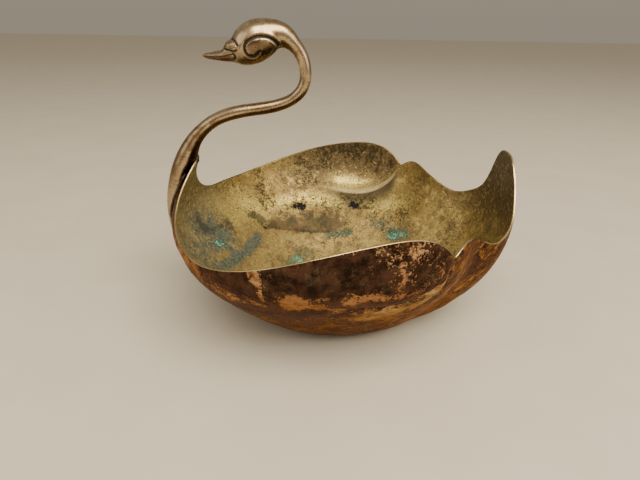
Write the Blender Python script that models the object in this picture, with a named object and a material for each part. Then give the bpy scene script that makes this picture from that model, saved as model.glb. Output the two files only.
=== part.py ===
"""A swan-shaped serving dish of plated brass: a raised bowl whose rim makes the wings and the tail,
and a cast neck and head soldered to the pointed tab at its front.

The swan faces -X, its tail points to +X, and the dish rests on z = 0. Lengths below are in
millimetres and angles in degrees, round +Z from the tail, and the meshes are in metres."""

import math

import bmesh
import bpy
import numpy as np
from mathutils import Vector

MM = 0.001
SHEET = 1.0
GAP = 0.35

# The bowl: an oval foot on the table, the outline at one height above it, and the share of the way
# from the foot out to that outline that the wall has reached at other heights
FOOT_FRONT = 35.0
FOOT_SIDE = 21.0
FOOT_TAIL = 45.0
PLAN_ANGLES = (0, 11, 21, 31, 40, 50, 60, 75, 92, 112, 132, 150, 166, 180)
PLAN_RADII = (92.0, 93.0, 92.0, 86.6, 82.0, 84.9, 88.6, 91.4, 94.8, 101.2, 103.0, 99.6, 99.8, 101.2)
PROFILE_HEIGHTS = (0, 4, 16, 36, 64, 100)
FRONT_PROFILE = (0, 0.21, 0.48, 0.81, 1, 0.73)
SIDE_PROFILE = (0, 0.22, 0.45, 0.71, 1, 0.98)
TAIL_PROFILE = (0, 0.22, 0.51, 0.82, 1, 0.975)

# The sawn rim: its height from the tail's tip to the notch behind the wing, and on to the front tab
NOTCH_ANGLE = 60.3
TAIL_RIM_ANGLES = (0, 6, 11, 16, 22, 29, 38, 47, 55, NOTCH_ANGLE)
TAIL_RIM_HEIGHTS = (102.8, 100.4, 90.6, 77.2, 69.2, 65.3, 70.0, 75.5, 77.6, 73.1)
WING_RIM_ANGLES = (NOTCH_ANGLE, 66, 73, 82.5, 99.5, 116.5, 134, 147, 158, 166.5, 174, 180)
WING_RIM_HEIGHTS = (73.1, 81.4, 86.1, 86.4, 81.4, 73.0, 66.8, 66.4, 68.8, 78.8, 90.2, 96.5)

# The lower edge of the wing, which runs down from the notch and forward, and the step along it
CREASE_ANGLES = (NOTCH_ANGLE, 63, 67, 73, 82, 92, 104, 120)
CREASE_HEIGHTS = (73.1, 64.5, 57.5, 52.5, 50.0, 50.5, 53.0, 57.0)
CREASE_STEPS = (0.0, 1.6, 2.8, 3.3, 3.0, 2.0, 0.8, 0.0)
CREASE_INSETS = (0.0, 0.7, 1.5, 2.2, 2.3, 1.6, 0.6, 0.0)
CREASE_WIDTHS = (1.4, 1.6, 2.0, 3.0, 4.2, 5.5, 8.0, 10.0)
CREASE_REACH = 16.0
INSET_REACH = 5.5

TAIL_COLUMNS = 22
WING_COLUMNS = 26
BOWL_ROWS = 18

# The neck and head, from the foot up to the tip of the beak: x, z, half depth, half width. The
# sections turn upright between two of the stations, where the neck becomes the head
SWAN_STATIONS = (
    (-101.2, 53.6, 3.4, 1.6),
    (-100.9, 58.0, 4.2, 2.9),
    (-100.7, 63.0, 4.7, 4.0),
    (-99.9, 72.0, 5.2, 4.9),
    (-97.6, 82.0, 5.4, 5.3),
    (-95.2, 89.5, 5.4, 5.4),
    (-91.6, 96.3, 5.8, 5.3),
    (-89.0, 101.8, 5.1, 4.9),
    (-85.6, 107.4, 4.2, 4.3),
    (-80.8, 112.6, 3.7, 3.8),
    (-74.6, 117.3, 3.5, 3.6),
    (-67.3, 120.6, 3.5, 3.5),
    (-58.8, 122.8, 3.45, 3.45),
    (-50.0, 124.2, 3.4, 3.4),
    (-42.0, 125.6, 3.35, 3.35),
    (-35.3, 127.6, 3.2, 3.2),
    (-29.9, 130.5, 3.1, 3.1),
    (-26.0, 134.6, 3.1, 3.1),
    (-24.1, 140.0, 3.1, 3.1),
    (-24.3, 146.0, 3.2, 3.2),
    (-26.6, 152.6, 3.5, 3.5),
    (-30.6, 157.5, 4.2, 4.2),
    (-35.0, 160.6, 6.0, 5.3),
    (-39.8, 161.4, 7.7, 6.7),
    (-45.0, 159.4, 10.1, 8.0),
    (-50.0, 158.2, 11.0, 8.5),
    (-55.0, 157.0, 10.5, 8.1),
    (-58.5, 156.0, 9.0, 7.1),
    (-61.0, 154.9, 7.2, 5.9),
    (-62.6, 153.8, 5.8, 5.2),
    (-64.6, 153.2, 5.1, 4.6),
    (-66.0, 152.4, 4.2, 4.2),
    (-67.2, 151.5, 3.2, 3.8),
    (-70.4, 151.1, 2.4, 3.1),
    (-74.0, 150.9, 1.7, 2.4),
    (-76.8, 151.0, 1.0, 1.5),
    (-77.7, 150.9, 0.4, 0.7),
)
UPRIGHT_FROM = 22
UPRIGHT_AT = 24
SWAN_RINGS = 84
SWAN_SIDES = 18

# The solder: a run down each side of the neck where it lies on the tab, and a lump over the tab's tip
FILLET_RADIUS = 0.7
FILLET_FOOT = 60.0
FILLET_TOP = 89.0
FILLET_RINGS = 12
FILLET_SIDES = 8
CAP_CENTRE = (-83.6, 0.0, 98.0)
CAP_RADII = (0.8, 1.8, 1.1)


def cubic(xs, ys, flat_start=False, flat_end=False):
    """A smooth curve through the points; its ends are level or free."""
    xs = np.asarray(xs, float)
    ys = np.asarray(ys, float)
    n = len(xs)
    h = np.diff(xs)
    slope = np.diff(ys) / h
    rows = np.zeros((n, n))
    right = np.zeros(n)
    for i in range(1, n - 1):
        rows[i, i - 1 : i + 2] = h[i - 1], 2 * (h[i - 1] + h[i]), h[i]
        right[i] = 6 * (slope[i] - slope[i - 1])
    rows[0, 0] = rows[-1, -1] = 1
    if flat_start:
        rows[0, :2] = 2 * h[0], h[0]
        right[0] = 6 * slope[0]
    if flat_end:
        rows[-1, -2:] = h[-1], 2 * h[-1]
        right[-1] = -6 * slope[-1]
    bend = np.linalg.solve(rows, right)

    def curve(x):
        x = np.clip(np.asarray(x, float), xs[0], xs[-1])
        i = np.clip(np.searchsorted(xs, x) - 1, 0, n - 2)
        a = (xs[i + 1] - x) / h[i]
        b = 1 - a
        bow = ((a**3 - a) * bend[i] + (b**3 - b) * bend[i + 1]) * h[i] ** 2 / 6
        return a * ys[i] + b * ys[i + 1] + bow

    return curve


plan_radius = cubic(PLAN_ANGLES, PLAN_RADII, flat_start=True, flat_end=True)
profile_curves = [
    cubic(np.sqrt(PROFILE_HEIGHTS), profile) for profile in (FRONT_PROFILE, SIDE_PROFILE, TAIL_PROFILE)
]
tail_rim = cubic(TAIL_RIM_ANGLES, TAIL_RIM_HEIGHTS, flat_start=True)
wing_rim = cubic(WING_RIM_ANGLES, WING_RIM_HEIGHTS, flat_end=True)


def wing_step(angle, height):
    """The body draws in up to the wing's crisp lower edge, and above it the wing swells out again."""
    above = height - np.interp(angle, CREASE_ANGLES, CREASE_HEIGHTS)
    step = np.interp(angle, CREASE_ANGLES, CREASE_STEPS)
    inset = np.interp(angle, CREASE_ANGLES, CREASE_INSETS)
    width = np.interp(angle, CREASE_ANGLES, CREASE_WIDTHS)
    rise = 1 - np.exp(-np.maximum(above, 0) / width)
    swell = ((step + inset) * rise - inset) * np.exp(-np.maximum(above, 0) / CREASE_REACH)
    return np.where(above < 0, -inset * np.exp(np.minimum(above, 0) / INSET_REACH), swell)


def foot_radius(angle):
    turn = np.radians(angle)
    along = np.where(np.cos(turn) < 0, FOOT_FRONT, FOOT_TAIL)
    return 1 / np.sqrt((np.cos(turn) / along) ** 2 + (np.sin(turn) / FOOT_SIDE) ** 2)


def bowl_radius(angle, height):
    """Distance of the bowl's outer face from the Z axis; angle is 0 at the tail and 180 at the front."""
    along = np.cos(np.radians(angle))
    weights = (np.where(along < 0, along**2, 0), 1 - along**2, np.where(along > 0, along**2, 0))
    root = np.sqrt(np.maximum(height, 0))
    share = sum(weight * profile(root) for weight, profile in zip(weights, profile_curves))
    foot = foot_radius(angle)
    return foot + (plan_radius(angle) - foot) * share + wing_step(angle, height)


def rim_height(angle):
    return np.where(angle < NOTCH_ANGLE, tail_rim(angle), wing_rim(angle))


def bowl_point(angle, height, side=1):
    """A point on the bowl's outer face; side is 1 for the +Y half and -1 for the other."""
    radius = float(bowl_radius(angle, height))
    turn = math.radians(angle)
    return Vector((radius * math.cos(turn), side * radius * math.sin(turn), float(height))) * MM


def material(name, colour, roughness, metallic):
    made = bpy.data.materials.new(name)
    made.use_nodes = True
    shader = made.node_tree.nodes["Principled BSDF"]
    shader.inputs["Base Color"].default_value = (*colour, 1.0)
    shader.inputs["Roughness"].default_value = roughness
    shader.inputs["Metallic"].default_value = metallic
    return made


def finish_object(name, shape, surface, parent, sharp_angle=40):
    """Turns a bmesh into a named, smooth-shaded object under the dish's empty."""
    bmesh.ops.recalc_face_normals(shape, faces=shape.faces)
    mesh = bpy.data.meshes.new(name)
    shape.to_mesh(mesh)
    shape.free()
    mesh.materials.append(surface)
    mesh.shade_smooth()
    mesh.set_sharp_from_angle(angle=math.radians(sharp_angle))
    made = bpy.data.objects.new(name, mesh)
    bpy.context.scene.collection.objects.link(made)
    made.parent = parent
    return made


def loft(rings, capped=True):
    """A bmesh skin over closed rings of points, closed at both ends when it is capped."""
    shape = bmesh.new()
    loops = [[shape.verts.new(point) for point in ring] for ring in rings]
    count = len(rings[0])
    for low, high in zip(loops, loops[1:]):
        for i in range(count):
            j = (i + 1) % count
            shape.faces.new((low[i], low[j], high[j], high[i]))
    if capped:
        shape.faces.new(list(reversed(loops[0])))
        shape.faces.new(loops[-1])
    return shape


def make_bowl(surface, parent):
    """One sheet: a flat oval foot, walls that rise to the sawn rim, and the metal's thickness inwards."""
    half = list(np.linspace(0, NOTCH_ANGLE, TAIL_COLUMNS + 1))
    half += list(np.linspace(NOTCH_ANGLE, 180, WING_COLUMNS + 1)[1:])
    columns = [(angle, 1) for angle in half] + [(angle, -1) for angle in reversed(half[1:-1])]
    rings = []
    for row in range(BOWL_ROWS + 1):
        share = (row / BOWL_ROWS) ** 1.5
        rings.append([bowl_point(angle, share * rim_height(angle), side) for angle, side in columns])
    shape = loft(rings, capped=False)
    shape.verts.ensure_lookup_table()
    shape.faces.new(shape.verts[: len(columns)])
    bowl = finish_object("bowl_shell", shape, surface, parent, sharp_angle=60)
    if bowl.data.polygons[-1].normal.z > 0:
        bowl.data.flip_normals()
    sheet = bowl.modifiers.new("sheet", "SOLIDIFY")
    sheet.thickness = SHEET * MM
    sheet.offset = -1.0
    sheet.use_even_offset = True
    sheet.use_rim = True
    return bowl


def swan_ring(centre, across, depth, width):
    """One oval section of the neck or head, kept clear of the bowl where it lies against the tab."""
    ring = []
    for i in range(SWAN_SIDES):
        turn = 2 * math.pi * i / SWAN_SIDES
        inward = depth * math.cos(turn)
        x = centre[0] + across[0] * inward
        y = width * math.sin(turn)
        z = centre[1] + across[1] * inward
        reach = math.hypot(x, y)
        angle = math.degrees(math.atan2(abs(y), x))
        least = float(bowl_radius(angle, min(z, 100.0))) + GAP
        if z < WING_RIM_HEIGHTS[-1] + 4 and reach < least:
            x *= least / reach
            y *= least / reach
        ring.append(Vector((x, y, z)) * MM)
    return ring


def make_swan(surface, parent):
    """The neck and head as one casting, swept from its filed foot to the tip of the beak."""
    stations = np.array(SWAN_STATIONS)
    steps = np.hypot(*np.diff(stations[:, :2], axis=0).T)
    length = np.concatenate([[0], np.cumsum(steps)])
    curves = [cubic(length, column) for column in stations.T]
    rings = []
    for at in np.linspace(0, length[-1], SWAN_RINGS):
        x, z, depth, width = (float(curve(at)) for curve in curves)
        ahead = np.array([float(curve(at + 0.5)) - float(curve(at - 0.5)) for curve in curves[:2]])
        ahead /= np.linalg.norm(ahead)
        upright = np.clip((at - length[UPRIGHT_FROM]) / (length[UPRIGHT_AT] - length[UPRIGHT_FROM]), 0, 1)
        ahead = ahead * (1 - upright) + np.array((-1.0, 0.0)) * upright
        ahead /= np.linalg.norm(ahead)
        rings.append(swan_ring((x, z), (ahead[1], -ahead[0]), depth, width))
    return finish_object("swan_neck", loft(rings), surface, parent, sharp_angle=50)


def make_fillet(name, side, surface, parent):
    """A run of solder in the corner between the neck and the tab."""
    stations = np.array(SWAN_STATIONS)
    clear = FILLET_RADIUS + GAP
    rings = []
    for height in np.linspace(FILLET_FOOT, FILLET_TOP, FILLET_RINGS):
        half_width = np.interp(height, stations[:8, 1], stations[:8, 3])
        wall = float(bowl_radius(177.0, height))
        ends = min(height - FILLET_FOOT, FILLET_TOP - height) / 4
        radius = FILLET_RADIUS * min(1.0, 0.35 + ends)
        centre = Vector((-(wall + clear), side * (half_width + clear), height))
        ring = []
        for i in range(FILLET_SIDES):
            turn = 2 * math.pi * i / FILLET_SIDES
            ring.append((centre + Vector((math.cos(turn), math.sin(turn), 0)) * radius) * MM)
        rings.append(ring)
    return finish_object(name, loft(rings), surface, parent)


def make_cap(surface, parent):
    shape = bmesh.new()
    bmesh.ops.create_uvsphere(shape, u_segments=12, v_segments=8, radius=MM)
    bmesh.ops.scale(shape, vec=CAP_RADII, verts=shape.verts)
    bmesh.ops.translate(shape, vec=Vector(CAP_CENTRE) * MM, verts=shape.verts)
    return finish_object("solder_cap", shape, surface, parent)


def main():
    for old in list(bpy.data.objects):
        bpy.data.objects.remove(old)
    dish = bpy.data.objects.new("swan_dish", None)
    bpy.context.scene.collection.objects.link(dish)
    bowl_brass = material("tarnished_brass", (0.45, 0.33, 0.15), 0.35, 1.0)
    neck_brass = material("worn_silver_plate", (0.50, 0.40, 0.28), 0.28, 1.0)
    solder = material("dull_solder", (0.16, 0.13, 0.10), 0.55, 1.0)
    make_bowl(bowl_brass, dish)
    make_swan(neck_brass, dish)
    make_fillet("solder_fillet_left", 1, solder, dish)
    make_fillet("solder_fillet_right", -1, solder, dish)
    make_cap(solder, dish)


main()
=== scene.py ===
"""The looks of the swan-shaped dish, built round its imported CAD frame.

The swan faces -X, the dish rests on z = 0, and angles are in degrees round +Z from the tail.
Shapes are worked out in millimetres, with the CAD's own driving numbers; meshes are in metres."""

import math

import bmesh
import bpy
import numpy as np
from mathutils import Matrix, Vector, noise


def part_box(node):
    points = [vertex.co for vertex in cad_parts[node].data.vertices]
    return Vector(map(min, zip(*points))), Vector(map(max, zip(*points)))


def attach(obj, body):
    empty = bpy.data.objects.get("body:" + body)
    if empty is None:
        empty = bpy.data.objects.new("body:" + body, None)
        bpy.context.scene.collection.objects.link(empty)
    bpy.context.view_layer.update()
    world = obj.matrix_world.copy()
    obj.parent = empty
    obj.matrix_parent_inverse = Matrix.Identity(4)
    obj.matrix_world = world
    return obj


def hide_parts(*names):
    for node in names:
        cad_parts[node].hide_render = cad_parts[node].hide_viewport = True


MM = 0.001  # metres
SHEET = 1.0  # the brass sheet's thickness
NECK_GAP = 0.105  # between the tab and the foot of the neck

# Relief of the sheet: hammer marks (depth, size, seed), the long dent, how soon the wall leaves the
# table, and how far the rounded rim stands above its shoulders
HAMMER_MARKS = ((0.28, 17.0, 1), (0.10, 6.5, 2))
DENT_DEPTH = 0.6
FOOT_TURN = 1.2
RIM_CROWN = 0.4

# The bowl: its oval foot, its outline, and how far out its wall has come at other heights
FOOT_FRONT = 35.0
FOOT_SIDE = 21.0
FOOT_TAIL = 45.0
PLAN_ANGLES = (0, 11, 21, 31, 40, 50, 60, 75, 92, 112, 132, 150, 166, 180)
PLAN_RADII = (92.0, 93.0, 92.0, 86.6, 82.0, 84.9, 88.6, 91.4, 94.8, 101.2, 103.0, 99.6, 99.8, 101.2)
PROFILE_HEIGHTS = (0, 4, 16, 36, 64, 100)
FRONT_PROFILE = (0, 0.21, 0.48, 0.81, 1, 0.73)
SIDE_PROFILE = (0, 0.22, 0.45, 0.71, 1, 0.98)
TAIL_PROFILE = (0, 0.22, 0.51, 0.82, 1, 0.975)

# The sawn rim, from the tail's tip to the notch behind the wing, and on to the front tab
NOTCH_ANGLE = 60.3
TAIL_RIM_ANGLES = (0, 6, 11, 16, 22, 29, 38, 47, 55, NOTCH_ANGLE)
TAIL_RIM_HEIGHTS = (102.8, 100.4, 90.6, 77.2, 69.2, 65.3, 70.0, 75.5, 77.6, 73.1)
WING_RIM_ANGLES = (NOTCH_ANGLE, 66, 73, 82.5, 99.5, 116.5, 134, 147, 158, 166.5, 174, 180)
WING_RIM_HEIGHTS = (73.1, 81.4, 86.1, 86.4, 81.4, 73.0, 66.8, 66.4, 68.8, 78.8, 90.2, 96.5)

# The lower edge of the wing, and along it the wing's swell, the body's inset and the step's width
CREASE_ANGLES = (NOTCH_ANGLE, 63, 67, 73, 82, 92, 104, 120)
CREASE_HEIGHTS = (73.1, 64.5, 57.5, 52.5, 50.0, 50.5, 53.0, 57.0)
CREASE_STEPS = (0.0, 1.6, 2.8, 3.3, 3.0, 2.0, 0.8, 0.0)
CREASE_INSETS = (0.0, 0.7, 1.5, 2.2, 2.3, 1.6, 0.6, 0.0)
CREASE_WIDTHS = (1.4, 1.6, 2.0, 3.0, 4.2, 5.5, 8.0, 10.0)
CREASE_REACH = 16.0
INSET_REACH = 5.5

# The neck and head, from the foot up to the tip of the beak: x, z, half depth, half width
SWAN_STATIONS = (
    (-101.2, 53.6, 3.4, 1.6),
    (-100.9, 58.0, 4.2, 2.9),
    (-100.7, 63.0, 4.7, 4.0),
    (-99.9, 72.0, 5.2, 4.9),
    (-97.6, 82.0, 5.4, 5.3),
    (-95.2, 89.5, 5.4, 5.4),
    (-91.6, 96.3, 5.8, 5.3),
    (-89.0, 101.8, 5.1, 4.9),
    (-85.6, 107.4, 4.2, 4.3),
    (-80.8, 112.6, 3.7, 3.8),
    (-74.6, 117.3, 3.5, 3.6),
    (-67.3, 120.6, 3.5, 3.5),
    (-58.8, 122.8, 3.45, 3.45),
    (-50.0, 124.2, 3.4, 3.4),
    (-42.0, 125.6, 3.35, 3.35),
    (-35.3, 127.6, 3.2, 3.2),
    (-29.9, 130.5, 3.1, 3.1),
    (-26.0, 134.6, 3.1, 3.1),
    (-24.1, 140.0, 3.1, 3.1),
    (-24.3, 146.0, 3.2, 3.2),
    (-26.6, 152.6, 3.5, 3.5),
    (-30.6, 157.5, 4.2, 4.2),
    (-35.0, 160.6, 6.0, 5.3),
    (-39.8, 161.4, 7.7, 6.7),
    (-45.0, 159.4, 10.1, 8.0),
    (-50.0, 158.2, 11.0, 8.5),
    (-55.0, 157.0, 10.5, 8.1),
    (-58.5, 156.0, 9.0, 7.1),
    (-61.0, 154.9, 7.2, 5.9),
    (-62.6, 153.8, 5.8, 5.2),
    (-64.6, 153.2, 5.1, 4.6),
    (-66.0, 152.4, 4.2, 4.2),
    (-67.2, 151.5, 3.2, 3.8),
    (-70.4, 151.1, 2.4, 3.1),
    (-74.0, 150.9, 1.7, 2.4),
    (-76.8, 151.0, 1.0, 1.5),
    (-77.7, 150.9, 0.4, 0.7),
)

# Stations where the finer rings of the head start, and where rings start and end turning upright
HEAD_FROM = 20
UPRIGHT_FROM = 22
UPRIGHT_AT = 24

# How fine the meshes are, and the innermost floor ring's share of the foot
TAIL_COLUMNS = 84
WING_COLUMNS = 130
WALL_ROWS = 100
FLOOR_ROWS = 10
RIM_ROWS = 5
FLOOR_CENTRE = 0.04
NECK_RINGS = 330
HEAD_RINGS = 300
SWAN_SIDES = 112

# Lines of the head, seen from the side (x, z): the curl round the cheek, the fold at the throat,
# the crest inside the curl, where a highlight is painted, and the parts of the beak
CHEEK_CURL = (
    (-47.7, 153.3), (-48.8, 151.9), (-50.3, 151.1), (-52.0, 151.2), (-53.8, 152.3), (-54.8, 154.3),
    (-54.8, 156.5), (-53.4, 158.6), (-50.8, 160.2), (-48.0, 161.0), (-44.9, 161.0), (-41.8, 160.3),
    (-39.3, 158.7), (-37.2, 156.2),
)
THROAT_FOLD = ((-37.2, 156.2), (-39.3, 154.9), (-40.7, 153.2), (-42.0, 151.6))
CURL_CREST = ((-46.4, 159.6), (-44.2, 159.7), (-42.1, 159.0), (-40.2, 157.8), (-38.8, 156.5))
BROW_LINE = ((-65.9, 155.0), (-64.4, 154.4), (-62.6, 153.9), (-60.8, 153.6), (-59.4, 154.2))
BROW_LIP = ((-64.0, 153.2), (-61.8, 152.8), (-59.6, 153.1), (-57.9, 154.6))
KNOB_BACK = ((-62.8, 160.2), (-61.0, 159.2), (-59.6, 157.9), (-58.9, 156.4))
LIP_LINE = ((-76.2, 150.9), (-73.1, 150.7), (-68.7, 150.8), (-64.4, 151.5), (-61.0, 152.3))
MOUTH_CORNER = ((-61.0, 152.3), (-60.2, 151.2), (-60.3, 150.0))
KNOB = (-63.2, 156.8)
NOSTRIL = (-58.9, 156.6)
CHEEK = (-46.8, 155.8)

# Grooves cut along those lines: line, half width, depth
HEAD_GROOVES = (
    (CHEEK_CURL, 0.78, 1.25),
    (THROAT_FOLD, 0.60, 0.60),
    (BROW_LINE, 0.50, 0.65),
    (KNOB_BACK, 0.55, 0.55),
    (LIP_LINE, 0.28, 0.22),
    (MOUTH_CORNER, 0.60, 0.45),
)

# How far the bright lip lies above the curl, where the head starts (z), how uneven the casting is,
# and the back of its foot, which is painted in shade, as x at each height
CURL_LIP_ABOVE = 1.35
HEAD_ABOVE = 140.0
NECK_UNEVENNESS = 0.07
FOOT_BACK_HEIGHTS = (70.0, 90.0, 104.0, 118.0)
FOOT_BACK = (-97.5, -94.0, -87.0, -75.0)

# The runs of solder beside the neck: their lower and upper ends, radius, and how far out they lie
RUN_FROM = 60.0
RUN_TO = 89.0
RUN_RADIUS = 0.7
RUN_OUT = 1.05
RUN_RINGS = 90
RUN_SIDES = 20

# The lump of solder, against its CAD solid: how far it is moved, stretched and made uneven
LUMP_SHIFT = (-1.8, 0, -1.8)
LUMP_STRETCH = (1.6, 1.0, 2.0)
LUMP_UNEVENNESS = 0.34


def cubic(xs, ys, flat_start=False, flat_end=False):
    """A smooth curve through the points; its ends are level or free."""
    xs = np.asarray(xs, float)
    ys = np.asarray(ys, float)
    n = len(xs)
    h = np.diff(xs)
    slope = np.diff(ys) / h
    rows = np.zeros((n, n))
    right = np.zeros(n)
    for i in range(1, n - 1):
        rows[i, i - 1 : i + 2] = h[i - 1], 2 * (h[i - 1] + h[i]), h[i]
        right[i] = 6 * (slope[i] - slope[i - 1])
    rows[0, 0] = rows[-1, -1] = 1
    if flat_start:
        rows[0, :2] = 2 * h[0], h[0]
        right[0] = 6 * slope[0]
    if flat_end:
        rows[-1, -2:] = h[-1], 2 * h[-1]
        right[-1] = -6 * slope[-1]
    bend = np.linalg.solve(rows, right)

    def curve(x):
        x = np.clip(np.asarray(x, float), xs[0], xs[-1])
        i = np.clip(np.searchsorted(xs, x) - 1, 0, n - 2)
        a = (xs[i + 1] - x) / h[i]
        b = 1 - a
        bow = ((a**3 - a) * bend[i] + (b**3 - b) * bend[i + 1]) * h[i] ** 2 / 6
        return a * ys[i] + b * ys[i + 1] + bow

    return curve


plan_radius = cubic(PLAN_ANGLES, PLAN_RADII, flat_start=True, flat_end=True)
profile_curves = [
    cubic(np.sqrt(PROFILE_HEIGHTS), profile)
    for profile in (FRONT_PROFILE, SIDE_PROFILE, TAIL_PROFILE)
]
crease_height = cubic(CREASE_ANGLES, CREASE_HEIGHTS)
tail_rim = cubic(TAIL_RIM_ANGLES, TAIL_RIM_HEIGHTS, flat_start=True)
wing_rim = cubic(WING_RIM_ANGLES, WING_RIM_HEIGHTS, flat_end=True)


def wing_step(angle, height):
    """The body draws in up to the wing's crisp lower edge, and above it the wing swells out."""
    above = height - crease_height(angle)
    step = np.interp(angle, CREASE_ANGLES, CREASE_STEPS)
    inset = np.interp(angle, CREASE_ANGLES, CREASE_INSETS)
    width = np.interp(angle, CREASE_ANGLES, CREASE_WIDTHS)
    rise = 1 - np.exp(-np.maximum(above, 0) / width)
    swell = ((step + inset) * rise - inset) * np.exp(-np.maximum(above, 0) / CREASE_REACH)
    return np.where(above < 0, -inset * np.exp(np.minimum(above, 0) / INSET_REACH), swell)


def foot_radius(angle):
    """Radius of the oval flat that the dish stands on."""
    turn = np.radians(angle)
    along = np.where(np.cos(turn) < 0, FOOT_FRONT, FOOT_TAIL)
    return 1 / np.sqrt((np.cos(turn) / along) ** 2 + (np.sin(turn) / FOOT_SIDE) ** 2)


def bowl_radius(angle, height):
    """Distance of the bowl's outer face from the Z axis."""
    along = np.cos(np.radians(angle))
    weights = (along**2 * (along < 0), 1 - along**2, along**2 * (along > 0))
    root = np.sqrt(np.maximum(height, 0))
    share = sum(weight * profile(root) for weight, profile in zip(weights, profile_curves))
    foot = foot_radius(angle)
    return foot + (plan_radius(angle) - foot) * share + wing_step(angle, height)


def rim_height(angle):
    return np.where(angle < NOTCH_ANGLE, tail_rim(angle), wing_rim(angle))


def smooth_step(low, high, value):
    share = np.clip((value - low) / (high - low), 0, 1)
    return share * share * (3 - 2 * share)


def band(value, start, full, fade, stop):
    """0 below start, 1 from full to fade, and 0 again above stop."""
    return smooth_step(start, full, value) * smooth_step(stop, fade, value)


def ridge(value, width, centre=0.0):
    """1 at the centre, falling away smoothly on both sides."""
    return np.exp(-(((value - centre) / width) ** 2))


def noise_at(points, size, seed):
    """Smooth noise about 0 at points in mm, with features of about that size in mm."""
    shift = Vector((seed * 17.3, seed * 5.1, seed * 9.7))
    return np.array([noise.fractal(Vector(p) / size + shift, 0.9, 2.0, 2) for p in points])


def line_distance(points, line):
    """Distance of each point from the line through the corners, or from a single corner."""
    line = np.asarray(line, float)
    if len(line) == 1:
        return np.linalg.norm(points - line[0], axis=1)
    nearest = np.full(len(points), np.inf)
    for start, end in zip(line, line[1:]):
        run = end - start
        share = np.clip((points - start) @ run / max(run @ run, 1e-9), 0, 1)
        nearest = np.minimum(nearest, np.linalg.norm(points - start - share[:, None] * run, axis=1))
    return nearest


def smooth_line(corners, count=60):
    """A round curve through the corners, as a dense line."""
    corners = np.asarray(corners, float)
    steps = np.linalg.norm(np.diff(corners, axis=0), axis=1)
    length = np.concatenate([[0], np.cumsum(steps)])
    at = np.linspace(0, length[-1], count)
    return np.stack([cubic(length, column)(at) for column in corners.T], axis=1)


# ---------------------------------------------------------------- marks on the bowl

# Marks inside the bowl: the corners of the line that each runs along, its half width and strength
DARK_MARKS = (
    (((10, 75.5, 42.5), (12.5, 74.5, 42)), 2.6, 1.25),
    (((4.9, 70.3, 36),), 1.5, 1),
    (((-34, 76.5, 40), (-30.5, 76.8, 40.3)), 2.2, 1.2),
    (((-29.5, 77.5, 41), (-28, 75.5, 39.3)), 2.4, 1.35),
    (((-36.5, 83, 46), (-33.5, 79, 42.5)), 1.2, 0.95),
    (((-55, 55, 31.5), (-52, 55, 30.8)), 1.5, 1),
)
SMUDGES = (
    (((-63, 59, 39), (-57.5, 59, 35)), 4, 1.45),
    (((-92.6, 21.1, 48.7), (-87.9, 20.9, 41.8)), 5.4, 1),
    (((-88, 22, 42.5), (-84.8, 28.2, 41.6), (-81.2, 33.9, 40.8)), 2, 0.95),
    (((-78.5, 39, 42.5), (-75.5, 39, 37.5)), 4.2, 1.1),
    (((-85, 28, 38), (-79, 35, 37)), 2, 0.85),
    (((-24, 91, 56.5), (-17, 90, 56)), 3, 0.7),
)
SPECKLED = (
    (((-15, 96, 80), (12, 92, 80), (30, 86.5, 76)), 11, 1),
    (((-30, 95, 67), (-10, 96, 70)), 9, 0.7),
    (((-62, 80, 58), (-52, 72, 44)), 8, 0.62),
    (((-24, 91, 56.5),), 7, 0.75),
    (((26, 66, 40), (50, 57, 42)), 9, 0.6),
    (((-48, 78, 42), (-20, 80, 43), (30, 74, 42)), 6, 0.62),
)
VERDIGRIS = (
    (((-28.5, 42, 10.6),), 4.6, 1.25),
    (((-34, 40.5, 12), (-25, 47, 14)), 6.5, 0.75),
    (((-82.3, 19.5, 34.8), (-77.5, 22.5, 31.9)), 3.2, 1.05),
    (((36.5, 50.6, 27.5), (44.6, 47.8, 31)), 4.2, 1.05),
    (((-7, 60, 23.5), (8, 61, 26)), 3.4, 0.66),
    (((-12, 56, 19.5),), 3.5, 0.5),
    (((-70, 17, 22.5), (-62, 27, 23)), 4, 0.55),
)
STAINS = (
    (((-84.8, 28.3, 41.6), (-80, 31, 35), (-83, 17, 36)), 9, 1.15),
    (((-92, 19, 50), (-88, 10, 38)), 9, 0.95),
    (((-90, -6, 40), (-78, -2, 26)), 11, 0.90),
    (((-77, 0, 25.5), (-73.2, 12.5, 24.3), (-65.2, 30.4, 24.7), (-59.2, 44.4, 27.6)), 4, 1.35),
    (((-76, 20, 30), (-68, 30, 29)), 5, 0.7),
    (((26, 62.7, 33.7), (33, 58.4, 32.4), (40, 52, 29)), 5, 0.95),
    (((43, 53, 35), (50, 50, 37)), 4, 0.6),
    (((-10, 60, 23.5), (8, 62, 26)), 4, 0.7),
    (((76, 32, 42),), 5, 0.6),
    (((89, 4, 56),), 5, 0.7),
)
# Painted highlights on the far wall and the wing's scoop: bright in colour, and also polished
# smoother and more metallic
POLISH_AND_HIGHLIGHTS = (
    (((0, 91, 56.5), (9, 89, 55), (18, 87, 54.5)), 4, 1.3),
    (((-50, 74, 42), (-28, 82, 45), (-14, 82, 44), (4, 79, 42)), 4.2, 0.85),
    (((14, 77, 43.5), (34, 72, 43), (48, 66, 44)), 5, 0.75),
    (((-75.8, 53.9, 48), (-69, 59, 45), (-61.5, 62, 41)), 8.5, 0.95),
)

INSIDE_MARKS = {
    "dark": DARK_MARKS,
    "speckle": SPECKLED,
    "verdigris": VERDIGRIS,
    "stain": STAINS,
    "smudge": SMUDGES,
    "polish_and_highlight": POLISH_AND_HIGHLIGHTS,
}

# The dent: its sharp lower edge and its upper edge, as y along x
DENT_ALONG = (-60, -48, -30, -8, 12)
DENT_LOWER = (54, 58, 61.5, 62, 67)
DENT_UPPER = (56, 70, 77.5, 76.5, 70)
DENT_BLUR = 8

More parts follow.
